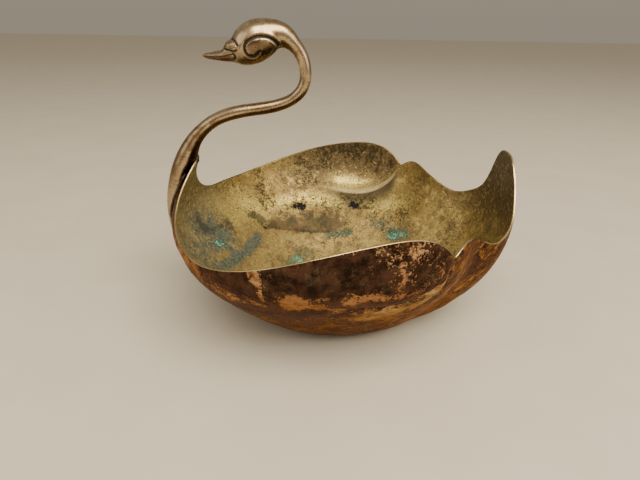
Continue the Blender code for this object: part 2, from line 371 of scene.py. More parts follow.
# Marks outside, given on the near flank and repeated on the far one: places worn through the dark
# layer, and places where it is broken up
WORN = (
    (((-26, -91.5, 57),), 5.3, 1.9),
    (((-21.5, -92, 55.5), (-14.5, -90.5, 53)), 3.4, 1.15),
    (((-19, -93, 60), (-12, -93.5, 61.5)), 1.3, 0.9),
    (((-60, -80, 60), (-46, -86, 50)), 1.6, 0.75),
    (((-54, -86, 66), (-40, -87, 50)), 1.3, 0.75),
    (((-42.8, -93.5, 73), (-41.3, -92.5, 65), (-40, -90, 57)), 1.4, 1.05),
    (((-46.5, -93, 72.5), (-43, -92, 66)), 0.9, 0.9),
    (((-1.5, -92.5, 58),), 3.6, 0.95),
    (((5, -92.5, 61), (11, -91.5, 60.5)), 2.8, 0.9),
    (((-12, -88.5, 51), (-4, -87, 49)), 2.4, 0.8),
    (((23, -90.5, 82), (28, -89, 80)), 2.4, 0.6),
    (((18.5, -92.1, 75), (20.5, -91.1, 69), (17.7, -91.3, 65)), 1.8, 0.6),
    (((10, -91, 58.5), (28, -86.5, 62), (38, -82, 69)), 1.5, 0.75),
    (((-98, -25, 55), (-85, -51, 62), (-72, -71, 62)), 5, 0.6),
    (((-65, -77, 56), (-50, -84, 52)), 4, 0.35),
)
BROKEN = (
    (((14, -93.5, 82), (36, -85, 76)), 9, 1),
    (((17, -92, 72), (32, -87, 68)), 9, 1),
    (((6, -92, 62), (26, -87, 63)), 5, 0.8),
    (((-20, -94, 61), (-6, -93, 60)), 4.5, 0.6),
    (((-96, -30, 60), (-74, -70, 63), (-58, -83, 57)), 9, 0.9),
)
OUTSIDE_MARKS = {"worn": WORN, "broken": BROKEN}

# How high the streaked belly reaches round the outside, and mm round the wall for each degree
BELLY_ANGLES = (0, 40, 60, 75, 100, 130, 180)
BELLY_HEIGHTS = (20, 30, 42, 44, 44, 38, 36)
ROUND_PER_DEGREE = 1.6


def past_dent_edge(points):
    return points[:, 1] - np.interp(points[:, 0], DENT_ALONG, DENT_LOWER)


def dent_field(points):
    """Above 0 inside the long shallow dent in the far wall, whose lower edge is sharp."""
    below = np.interp(points[:, 0], DENT_ALONG, DENT_UPPER) - points[:, 1]
    inside = np.minimum(points[:, 0] - DENT_ALONG[0], DENT_ALONG[-1] - points[:, 0])
    blurred = np.minimum(below, inside) / DENT_BLUR
    return np.clip(np.minimum(past_dent_edge(points), blurred), -1, 1)


def marks(points, table):
    """The strongest mark at each point: full along its line, fading past its half width."""
    field = np.zeros(len(points))
    for line, half_width, strength in table:
        away = line_distance(points, line) / half_width
        field = np.maximum(field, strength * np.exp(-0.7 * away**2))
    return field


# ---------------------------------------------------------------- meshes


def grid_faces(ring_count, side_count):
    """Four-sided faces between rings of points that close on themselves."""
    faces = []
    for ring in range(ring_count - 1):
        base = ring * side_count
        for i in range(side_count):
            j = (i + 1) % side_count
            faces.append((base + i, base + j, base + side_count + j, base + side_count + i))
    return faces


def make_piece(name, points_mm, faces, surfaces, replaced):
    """A named piece that rides with the dish and stands for its CAD node."""
    mesh = bpy.data.meshes.new(name)
    mesh.from_pydata((np.asarray(points_mm) * MM).tolist(), [], faces)
    for surface in surfaces:
        mesh.materials.append(surface)
    mesh.shade_smooth()
    mesh.validate()
    piece = bpy.data.objects.new(name, mesh)
    bpy.context.scene.collection.objects.link(piece)
    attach(piece, "root")
    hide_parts(replaced)
    return piece


def paint(piece, name, values):
    """A number for each vertex, which the materials read by name."""
    layer = piece.data.attributes.new(name, "FLOAT", "POINT")
    layer.data.foreach_set("value", np.asarray(values, np.float32))


def fit_inside(points_mm, node):
    """The finer mesh bulges slightly past the CAD's flat facets, so it is drawn in to their box."""
    low, high = (np.array(corner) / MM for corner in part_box(node))
    centre = (low + high) / 2
    reach = np.abs(points_mm - centre).max(axis=0)
    return centre + (points_mm - centre) * np.minimum(1, (high - centre) / reach)


def surface_normals(grid):
    """Unit normals of a grid of points, with its rings in rows and closed round its columns."""
    round_step = np.roll(grid, -1, axis=1) - np.roll(grid, 1, axis=1)
    normal = np.cross(round_step, np.gradient(grid, axis=0))
    return normal / np.maximum(np.linalg.norm(normal, axis=2, keepdims=True), 1e-12)


def bowl_columns():
    """Angle and side of each column of the bowl, from the tail to the front and back."""
    half = list(np.linspace(0, NOTCH_ANGLE, TAIL_COLUMNS + 1))
    half += list(np.linspace(NOTCH_ANGLE, 180, WING_COLUMNS + 1)[1:])
    angles = np.array(half + half[-2:0:-1])
    sides = np.array([1] * len(half) + [-1] * (len(half) - 2))
    return angles, sides


def wall_heights(angles):
    """Heights of the wall's rows in each column, closer at the foot and along the crease."""
    shares = np.linspace(0, 1, 4 * WALL_ROWS + 1)
    columns = []
    for rim, crease in zip(rim_height(angles), crease_height(angles)):
        trial = shares * rim
        crowd = 1 + 3.0 * np.exp(-trial / 6.0) + 3.5 * ridge(trial, 4.0, crease)
        sum_of_crowd = np.concatenate([[0], np.cumsum((crowd[1:] + crowd[:-1]) / 2)])
        even = np.linspace(0, sum_of_crowd[-1], WALL_ROWS + 1)
        columns.append(np.interp(even, sum_of_crowd, trial))
    return np.stack(columns, axis=1)


def wall_normals(wall, heights):
    """Unit normals of the wall's outer face, turning straight down where it meets the table."""
    risen = smooth_step(0.0, FOOT_TURN, heights)[..., None]
    normals = surface_normals(wall) * risen + np.array((0, 0, -1.0)) * (1 - risen)
    return normals / np.linalg.norm(normals, axis=2, keepdims=True)


def make_bowl(surfaces):
    """One raised sheet: the floor, the wall's two faces and the rounded sawn rim between them."""
    angles, sides = bowl_columns()
    turn = np.radians(angles)
    heights = wall_heights(angles)
    radii = bowl_radius(angles[None, :], heights)
    wall = np.stack([radii * np.cos(turn), radii * np.sin(turn) * sides, heights], axis=2)

    # Hammer marks and the dent move both faces together, and fade out at the foot and the rim
    points = wall.reshape(-1, 3)
    swell = sum(depth * noise_at(points, size, seed) for depth, size, seed in HAMMER_MARKS)
    swell = swell + DENT_DEPTH * smooth_step(-0.6, 1.0, dent_field(points))
    below_rim = rim_height(angles)[None, :] - heights
    fade = smooth_step(0.5, 6.0, heights) * smooth_step(0, 3.0, below_rim)
    wall = wall + wall_normals(wall, heights) * (swell.reshape(heights.shape) * fade)[..., None]
    inner = wall - wall_normals(wall, heights) * SHEET

    floor_shares = np.linspace(FLOOR_CENTRE, 1, FLOOR_ROWS + 1)[:-1, None, None]
    outer_floor = wall[0] * floor_shares
    inner_floor = inner[0] * floor_shares
    inner_floor[..., 2] = inner[0][:, 2]

    middle = (wall[-1] + inner[-1]) / 2
    half_sheet = (wall[-1] - inner[-1]) / 2
    crown = wall[-1] - wall[-2]
    crown *= RIM_CROWN / np.linalg.norm(crown, axis=1, keepdims=True)
    leans = np.linspace(0, math.pi, RIM_ROWS + 2)[1:-1]
    rim = [middle + half_sheet * math.cos(lean) + crown * (math.sin(lean) - 1) for lean in leans]
    wall[-1] -= crown
    inner[-1] -= crown

    rings = [*outer_floor, *wall, *rim, *inner[::-1], *inner_floor[::-1]]
    count = len(angles)
    points = np.concatenate([*rings, [(0, 0, 0), (0, 0, SHEET)]])
    points[:, 2] = np.maximum(points[:, 2], 0)
    points = fit_inside(points, "bowl_shell")
    faces = grid_faces(len(rings), count)
    last = (len(rings) - 1) * count
    for i in range(count):
        j = (i + 1) % count
        faces.append((last + count, j, i))
        faces.append((last + count + 1, last + i, last + j))
    bowl = make_piece("swan_bowl", points, faces, surfaces, "bowl_shell")

    first_rim = FLOOR_ROWS + len(wall)
    first_inner = first_rim + RIM_ROWS
    is_inner = np.append(np.repeat(np.arange(len(rings)) >= first_inner, count), [False, True])
    floor_heights = np.zeros((FLOOR_ROWS, count))
    rim_heights = np.repeat(heights[-1:], RIM_ROWS, axis=0)
    height_at = np.concatenate([floor_heights, heights, rim_heights, heights[::-1], floor_heights])
    height_at = np.append(height_at.ravel(), [0, 0])
    angle_at = np.append(np.tile(angles, len(rings)), [0, 0])
    paint_bowl(bowl, points, is_inner, height_at, angle_at)

    outside, inside, edge = range(3)
    slots = np.full(len(bowl.data.polygons), outside, np.int32)
    ring_of_face = np.arange(len(slots)) // count
    slots[(ring_of_face >= first_rim - 1) & (ring_of_face < first_inner)] = edge
    slots[(ring_of_face >= first_inner) & (ring_of_face < len(rings) - 1)] = inside
    slots[last + 1 :: 2] = inside
    bowl.data.polygons.foreach_set("material_index", slots)
    bowl.data.update()
    return bowl


def paint_bowl(bowl, points, is_inner, height_at, angle_at):
    """The fields that the brass materials read: marks, zones and two lengths along the sheet."""
    x, y, z = points.T
    inside = is_inner.astype(float)
    for name, table in INSIDE_MARKS.items():
        paint(bowl, name, marks(points, table) * inside)
    both_flanks = np.stack([x, -np.abs(y), z], axis=1)
    for name, table in OUTSIDE_MARKS.items():
        paint(bowl, name, marks(both_flanks, table) * (1 - inside))

    dent = dent_field(points)
    paint(bowl, "dent", dent)
    middle_of_dent = ridge(x, 17.0, -20.0) * smooth_step(0.0, 0.4, dent) * inside
    paint(bowl, "dent_line", ridge(past_dent_edge(points), 1.4, 1.3) * middle_of_dent)

    paint(bowl, "tail", smooth_step(60, 88, x) * smooth_step(35, 85, z))
    paint(bowl, "front", smooth_step(-70, -96, x))
    paint(bowl, "low", smooth_step(42, 22, height_at) * inside)
    paint(bowl, "far_rim_darker", smooth_step(0, 30, y))
    paint(bowl, "behind_wing", smooth_step(66, 56, angle_at))
    above_belly = height_at - np.interp(angle_at, BELLY_ANGLES, BELLY_HEIGHTS)
    paint(bowl, "belly", smooth_step(9, -9, above_belly))

    above = height_at - crease_height(angle_at)
    by_crease = band(angle_at, 60, 64, 84, 104)
    paint(bowl, "crease_shade", band(above, -20.0, -4.0, -0.8, 0.6) * by_crease * inside)
    # A bright line along the wing's lower edge: a painted highlight, partly also rubbed bright
    paint(bowl, "crease_edge", ridge(above, 1.0, 0.6) * by_crease)
    # Under the wing's edge outside: a pale band, a painted reflection
    paint(bowl, "under_wing", band(above, -18, -10, -2.0, 1.0) * band(angle_at, 58, 64, 78, 96))
    below_rim = rim_height(angle_at) - height_at
    by_wing = band(angle_at, 60, 66, 100, 126)
    paint(bowl, "wing_top", by_wing * smooth_step(41, 15, below_rim) * inside)

    paint(bowl, "round", angle_at * ROUND_PER_DEGREE * MM)
    paint(bowl, "up", np.hypot(height_at, 0.6 * (np.hypot(x, y) - 40)) * MM)


def make_swan(surface):
    """The neck and head as one casting, with the curls on its cheeks, the knob and the beak."""
    stations = np.array(SWAN_STATIONS)
    steps = np.hypot(*np.diff(stations[:, :2], axis=0).T)
    length = np.concatenate([[0], np.cumsum(steps)])
    curves = [cubic(length, column) for column in stations.T]
    at = np.linspace(0, length[HEAD_FROM], NECK_RINGS, endpoint=False)
    at = np.concatenate([at, np.linspace(length[HEAD_FROM], length[-1], HEAD_RINGS)])
    x, z, depth, width = (curve(at)[:, None] for curve in curves)
    ahead = np.stack([curve(at + 0.5) - curve(at - 0.5) for curve in curves[:2]], axis=1)
    ahead /= np.linalg.norm(ahead, axis=1, keepdims=True)
    upright = (at - length[UPRIGHT_FROM]) / (length[UPRIGHT_AT] - length[UPRIGHT_FROM])
    upright = np.clip(upright, 0, 1)[:, None]
    ahead = ahead * (1 - upright) + np.array((-1.0, 0.0)) * upright
    ahead /= np.linalg.norm(ahead, axis=1, keepdims=True)

    turn = np.linspace(0, 2 * math.pi, SWAN_SIDES, endpoint=False)
    over, sideways = np.cos(turn), np.sin(turn) * np.ones((len(at), 1))
    outward = np.stack([ahead[:, 1:2] * over, sideways, -ahead[:, 0:1] * over], axis=2)
    scale = np.stack([depth, width, depth], axis=2)
    grid = np.stack([x, np.zeros_like(x), z], axis=2) + outward * scale
    normals = -surface_normals(grid)
    normals *= np.sign((normals * outward).sum(axis=2, keepdims=True))
    normals = normals.reshape(-1, 3)

    points = grid.reshape(-1, 3)
    push, groove, cheek, crest = head_relief(points, np.abs(sideways).ravel())
    unevenness = NECK_UNEVENNESS * noise_at(points, 9.0, 5)
    points = points + normals * (push + unevenness)[:, None]
    points = fit_inside(clear_of_bowl(points), "swan_neck")
    tip = points[-SWAN_SIDES:].mean(axis=0)
    tip[0] = points[-SWAN_SIDES:, 0].min()
    points = np.concatenate([points, [points[:SWAN_SIDES].mean(axis=0), tip]])

    faces = [tuple(reversed(face)) for face in grid_faces(len(at), SWAN_SIDES)]
    count = len(at) * SWAN_SIDES
    for i in range(SWAN_SIDES):
        j = (i + 1) % SWAN_SIDES
        faces.append((count, i, j))
        faces.append((count + 1, count - SWAN_SIDES + j, count - SWAN_SIDES + i))
    swan = make_piece("swan_neck_and_head", points, faces, [surface], "swan_neck")

    for name, field in (("groove", groove), ("cheek", cheek), ("crest", crest)):
        paint(swan, name, np.append(field, [0, 0]))
    paint(swan, "under", smooth_step(0.1, -0.9, np.append(normals[:, 2], [0, 0])))
    x, _, z = points.T
    paint(swan, "beak", smooth_step(-61.5, -64.5, x) * smooth_step(HEAD_ABOVE, 145, z))
    shaded = x - np.interp(z, FOOT_BACK_HEIGHTS, FOOT_BACK)
    paint(swan, "foot", smooth_step(122, 100, z) * smooth_step(-1.5, 3.0, shaded))
    return swan


def clear_of_bowl(points):
    """Keeps the foot of the neck outside the tab, where the solder joins them."""
    angle = np.degrees(np.arctan2(np.abs(points[:, 1]), points[:, 0]))
    reach = np.hypot(points[:, 0], points[:, 1])
    least = bowl_radius(angle, np.minimum(points[:, 2], 100.0)) + NECK_GAP
    short = (points[:, 2] < WING_RIM_HEIGHTS[-1] + 4) & (reach < least) & (points[:, 0] < 0)
    scale = np.where(short, least / np.maximum(reach, 1e-6), 1.0)
    return points * np.stack([scale, scale, np.ones(len(points))], axis=1)


def head_relief(points, sideways):
    """How far each point of the head stands out (+) or in (-), and how much it lies in a groove,
    on the cheek inside the curl, painted dark as a reflection, and on its crest, painted as a
    highlight."""
    push, groove, cheek, crest = np.zeros((4, len(points)))
    near = (points[:, 2] > HEAD_ABOVE) & (points[:, 0] < -30)
    seen = points[near][:, [0, 2]]
    side = smooth_step(0.30, 0.62, sideways[near])

    for line, half_width, depth in HEAD_GROOVES:
        away = line_distance(seen, smooth_line(line)) / half_width
        push[near] -= depth * np.exp(-(away**2)) * side
        groove[near] = np.maximum(groove[near], np.exp(-(away**2) * 0.7) * side)
    push[near] += 0.35 * ridge(line_distance(seen, smooth_line(BROW_LIP)), 0.6) * side
    curl_lip = smooth_line(CHEEK_CURL, 120) + np.array((0.0, CURL_LIP_ABOVE))
    push[near] += 0.40 * ridge(line_distance(seen, curl_lip), 0.8) * side
    crest[near] = ridge(line_distance(seen, smooth_line(CURL_CREST)), 0.55) * side
    lens = np.linalg.norm((seen - np.array(CHEEK)) / np.array((7.2, 4.6)), axis=1)
    cheek[near] = np.exp(-(lens**6)) * side
    push += 0.35 * crest + 0.25 * cheek
    knob = np.linalg.norm((seen - np.array(KNOB)) / np.array((2.2, 1.7)), axis=1)
    push[near] += 0.60 * np.exp(-(knob**4)) * (0.4 + 0.6 * side)
    nostril = np.linalg.norm(seen - np.array(NOSTRIL), axis=1)
    push[near] -= 0.6 * ridge(nostril, 0.6) * side
    groove[near] = np.maximum(groove[near], ridge(nostril, 0.7) * side)
    return push, groove, cheek, crest


def make_solder_run(name, side, surface, replaced):
    """A lumpy run of solder in the corner between the neck and the tab."""
    neck = np.array(SWAN_STATIONS)[:8]
    points = []
    for height in np.linspace(RUN_FROM, RUN_TO, RUN_RINGS):
        out = side * (np.interp(height, neck[:, 1], neck[:, 3]) + RUN_OUT)
        centre = np.array((-(float(bowl_radius(177.0, height)) + RUN_OUT), out, height))
        from_end = min(height - RUN_FROM, RUN_TO - height)
        radius = RUN_RADIUS * min(1.0, 0.35 + from_end / 4)
        for turn in np.linspace(0, 2 * math.pi, RUN_SIDES, endpoint=False):
            along, across = math.cos(turn), math.sin(turn)
            lump = 1 + 0.22 * noise.noise(Vector((height / 1.7, along, across + 9 * side)))
            points.append(centre + np.array((along, across, 0)) * radius * lump)
    faces = grid_faces(RUN_RINGS, RUN_SIDES)
    faces.append(tuple(range(RUN_SIDES - 1, -1, -1)))
    faces.append(tuple(range((RUN_RINGS - 1) * RUN_SIDES, RUN_RINGS * RUN_SIDES)))
    points = fit_inside(np.array(points), replaced)
    return make_piece(name, points, faces, [surface], replaced)


def make_solder_lump(surface):
    """The lump of solder over the tip of the tab, which runs on to the neck."""
    low, high = (np.array(corner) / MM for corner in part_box("solder_cap"))
    centre = (low + high) / 2 + np.array(LUMP_SHIFT)
    radii = (high - low) / 2 * np.array(LUMP_STRETCH)
    shape = bmesh.new()
    bmesh.ops.create_icosphere(shape, subdivisions=5, radius=1.0)
    points = []
    for vertex in shape.verts:
        lump = 1 + LUMP_UNEVENNESS * noise.fractal(vertex.co * 1.6, 1.0, 2.0, 3)
        points.append(centre + np.array(vertex.co) * radii * lump)
    faces = [[vertex.index for vertex in face.verts] for face in shape.faces]
    shape.free()
    return make_piece("solder_lump", points, faces, [surface], "solder_cap")


# ---------------------------------------------------------------- materials

RANGE_SOCKETS = ("From Min", "From Max", "To Min", "To Max")


class Shading:
    """A material's node tree, with one short method for each kind of node that it uses."""

    def __init__(self, name):
        self.material = bpy.data.materials.new(name)
        self.material.use_nodes = True
        self.tree = self.material.node_tree
        self.shader = self.tree.nodes["Principled BSDF"]
        self.place = self.node("ShaderNodeTexCoord").outputs["Object"]

    def node(self, kind, **settings):
        made = self.tree.nodes.new(kind)
        for key, value in settings.items():
            setattr(made, key, value)
        return made

    def put(self, socket, value):
        """A link, a colour or a number."""
        if isinstance(value, bpy.types.NodeSocket):
            self.tree.links.new(value, socket)
        elif isinstance(value, tuple) and len(value) == 3 and socket.type == "RGBA":
            socket.default_value = (*value, 1.0)
        else:
            socket.default_value = value

    def field(self, name):
        """A number painted on the mesh."""
        return self.node("ShaderNodeAttribute", attribute_name=name).outputs["Fac"]

    def maths(self, operation, first, second=0.0, clamp=False):
        made = self.node("ShaderNodeMath", operation=operation, use_clamp=clamp)
        self.put(made.inputs[0], first)
        self.put(made.inputs[1], second)
        return made.outputs[0]

    def times(self, first, second, clamp=False):
        return self.maths("MULTIPLY", first, second, clamp)

    def larger(self, first, second):
        return self.maths("MAXIMUM", first, second)

    def noise(self, size_mm, detail=4.0, roughness=0.6, distortion=0.0, vector=None):
        made = self.node("ShaderNodeTexNoise")
        self.put(made.inputs["Vector"], vector or self.place)
        made.inputs["Scale"].default_value = 1 / (size_mm * MM)
        made.inputs["Detail"].default_value = detail
        made.inputs["Roughness"].default_value = roughness
        made.inputs["Distortion"].default_value = distortion
        return made.outputs["Fac"]

    def step(self, value, low, high, to_low=0.0, to_high=1.0):
        """A smooth step from one number to another as the value goes from low to high."""
        made = self.node("ShaderNodeMapRange", interpolation_type="SMOOTHSTEP")
        self.put(made.inputs["Value"], value)
        for socket, number in zip(RANGE_SOCKETS, (low, high, to_low, to_high)):
            self.put(made.inputs[socket], number)
        return made.outputs["Result"]

    def patchy(self, size_mm, detail, roughness, low, high, amount=1.0):
        """Noise with its low parts at 0 and its high parts at the amount."""
        return self.step(self.noise(size_mm, detail, roughness), low, high, 0.0, amount)

    def sum(self, *values):
        total = values[0]
        for value in values[1:]:
            total = self.maths("ADD", total, value)
        return total

    def ragged(self, size_mm, amount, detail=6.0, roughness=0.72, distortion=0.0):
        """Noise about 0, to break up the edge of a field."""
        centred = self.maths("SUBTRACT", self.noise(size_mm, detail, roughness, distortion), 0.5)
        return self.times(centred, amount)

    def flow(self, across_round, across_up, stretch):
        """Lengths along the sheet for streaky noise, at right angles to the direction given."""
        around = self.field("round")
        up = self.field("up")
        across = self.sum(self.times(around, across_round), self.times(up, across_up))
        along = self.sum(self.times(around, -across_up), self.times(up, across_round))
        side = self.node("ShaderNodeSeparateXYZ")
        self.put(side.inputs[0], self.place)
        lengths = (across, self.times(along, stretch), self.times(side.outputs["Y"], 0.25))
        made = self.node("ShaderNodeCombineXYZ")
        for socket, value in zip(made.inputs, lengths):
            self.put(socket, value)
        return made.outputs["Vector"]

    def between(self, kind, share, first, second):
        made = self.node("ShaderNodeMix", data_type=kind)
        for socket, value in zip(("Factor", "A", "B"), (share, first, second)):
            self.put(made.inputs[socket], value)
        return made.outputs["Result"]

    def mix(self, share, first, second):
        """From the first colour at share 0 to the second at 1."""
        return self.between("RGBA", share, first, second)

    def blend(self, share, first, second):
        """From the first number at share 0 to the second at 1."""
        return self.between("FLOAT", share, first, second)

    def tint(self, colour, field, strength, towards):
        """The colour, turned towards another where a painted field is strong."""
        return self.mix(self.times(self.field(field), strength), colour, towards)

    def spots(self, size_mm, radius):
        """A round spot in each cell of a Voronoi grid, 1 inside it."""
        made = self.node("ShaderNodeTexVoronoi")
        self.put(made.inputs["Vector"], self.place)
        made.inputs["Scale"].default_value = 1 / (size_mm * MM)
        return self.step(made.outputs["Distance"], radius, radius * 0.6)

    def bump(self, height, distance_mm):
        made = self.node("ShaderNodeBump")
        made.inputs["Distance"].default_value = distance_mm * MM
        self.put(made.inputs["Height"], height)
        return made.outputs["Normal"]

    def finish(self, colour, roughness, metallic, normal):
        sockets = ("Base Color", "Roughness", "Metallic", "Normal")
        for socket, value in zip(sockets, (colour, roughness, metallic, normal)):
            self.put(self.shader.inputs[socket], value)
        return self.material


def inside_brass():
    """Golden brass, mottled and finely speckled, with black marks, stains and verdigris."""
    s = Shading("inside_brass")
    middle = s.noise(7, 6, 0.68)
    grain = s.noise(1.5, 6, 0.78)
    colour = s.mix(s.patchy(34, 3, 0.55, 0.4, 0.62), (0.315, 0.225, 0.07), (0.445, 0.325, 0.1))
    colour = s.mix(s.step(middle, 0.46, 0.62, 0.0, 0.85), colour, (0.19, 0.128, 0.046))
    colour = s.mix(s.patchy(11, 7, 0.74, 0.53, 0.66, 0.8), colour, (0.64, 0.49, 0.185))
    # Painted highlight: a bright speckled yellow on those spots
    sparkle = s.step(s.noise(1.1, 5, 0.8), 0.42, 0.56, 0.4, 1.0)
    colour = s.mix(s.times(s.field("polish_and_highlight"), sparkle, clamp=True), colour, (0.98, 0.8, 0.25))
    colour = s.mix(s.step(s.field("front"), 0.0, 1.0, 0.0, 0.58), colour, (0.262, 0.252, 0.158))
    colour = s.tint(colour, "wing_top", 0.8, (0.15, 0.108, 0.058))
    colour = s.mix(s.step(s.field("tail"), 0.0, 1.0, 0.0, 0.9), colour, (0.092, 0.068, 0.04))
    rough_area = s.step(s.noise(13, 5, 0.65), 0.4, 0.6, 0.22, 1.0)
    speckled = s.times(s.step(grain, 0.48, 0.59, 0.0, 0.9), rough_area)
    colour = s.mix(speckled, colour, (0.09, 0.062, 0.024))
    colour = s.mix(s.patchy(2.2, 6, 0.78, 0.53, 0.64, 0.55), colour, (0.78, 0.62, 0.25))
    # Painted shade: darker towards the floor of the bowl
    colour = s.tint(colour, "low", 0.36, (0.15, 0.115, 0.048))
    colour = s.tint(colour, "crease_shade", 0.95, (0.056, 0.042, 0.019))
    # Painted highlight along the wing's lower edge, partly also rubbed bright
    colour = s.tint(colour, "crease_edge", 0.8, (0.74, 0.61, 0.32))
    # The dent and a line along its sharp lower edge, painted dark olive-brown: partly a stain,
    # partly a painted dark reflection
    dent = s.step(s.sum(s.field("dent"), s.ragged(7, 2.6, 7), s.ragged(1.5, 1.6, 5)), 0.05, 0.8)
    dent_colour = s.mix(s.patchy(8, 6, 0.72, 0.4, 0.6), (0.105, 0.064, 0.027), (0.046, 0.04, 0.018))
    colour = s.mix(s.times(dent, 0.9), colour, dent_colour)
    dent_line = s.step(s.sum(s.field("dent_line"), s.ragged(4, 1.6, 6)), 0.35, 0.95)
    colour = s.mix(s.times(dent_line, 0.65), colour, (0.026, 0.03, 0.018))

    stain = s.step(s.sum(s.field("stain"), s.ragged(5, 2.8, 8), s.ragged(1.2, 3.2, 6)), 0.38, 1.1)
    stain_colour = s.mix(s.step(grain, 0.42, 0.6), (0.022, 0.036, 0.036), (0.11, 0.145, 0.118))
    colour = s.mix(s.times(stain, 0.92), colour, stain_colour)

    growth = s.sum(s.field("verdigris"), s.ragged(3.6, 2.8, 8), s.ragged(0.9, 2.8, 5))
    green = s.step(growth, 0.45, 0.95)
    green_colour = s.mix(s.step(growth, 0.95, 1.35), (0.04, 0.105, 0.085), (0.14, 0.54, 0.4))
    colour = s.mix(s.times(green, 0.82), colour, green_colour)

    density = s.sum(s.field("speckle"), s.ragged(9, 2.2, 4))
    patches = s.step(s.sum(density, s.ragged(2.4, 4.2, 8), s.ragged(0.8, 2.0, 4)), 0.66, 1.0)
    dots = s.times(s.spots(2.2, 0.24), s.patchy(9, 3, 0.6, 0.46, 0.58))
    small_dots = s.times(s.spots(1.2, 0.32), s.step(density, -0.1, 0.6))
    dots = s.larger(dots, small_dots)
    smudge = s.sum(s.field("smudge"), s.ragged(4.5, 2.2, 8), s.ragged(0.9, 2.8, 5))
    smudge = s.step(smudge, 0.42, 1.05)
    dirt = s.larger(s.times(patches, 0.84), s.times(dots, 0.8))
    colour = s.mix(dirt, colour, (0.042, 0.029, 0.015))
    colour = s.mix(s.times(smudge, 0.8), colour, (0.034, 0.038, 0.031))
    black = s.step(s.sum(s.field("dark"), s.ragged(1.9, 3.4, 8), s.ragged(0.8, 1.4, 4)), 0.5, 0.8)
    colour = s.mix(black, colour, (0.012, 0.01, 0.012))

    dull = s.larger(s.larger(stain, green), s.larger(dirt, black))
    bare = s.blend(s.field("polish_and_highlight"), s.step(middle, 0.3, 0.75, 0.5, 0.66), 0.34)
    roughness = s.blend(dull, bare, 0.7)
    metallic = s.blend(s.field("polish_and_highlight"), 0.58, 0.85)
    metallic = s.blend(s.larger(green, s.times(stain, 0.6)), metallic, 0.05)
    relief = s.sum(s.times(middle, 0.6), s.times(grain, 0.5))
    relief = s.sum(relief, s.times(dirt, -0.4), s.times(green, 0.8))
    return s.finish(colour, roughness, metallic, s.bump(relief, 0.34))


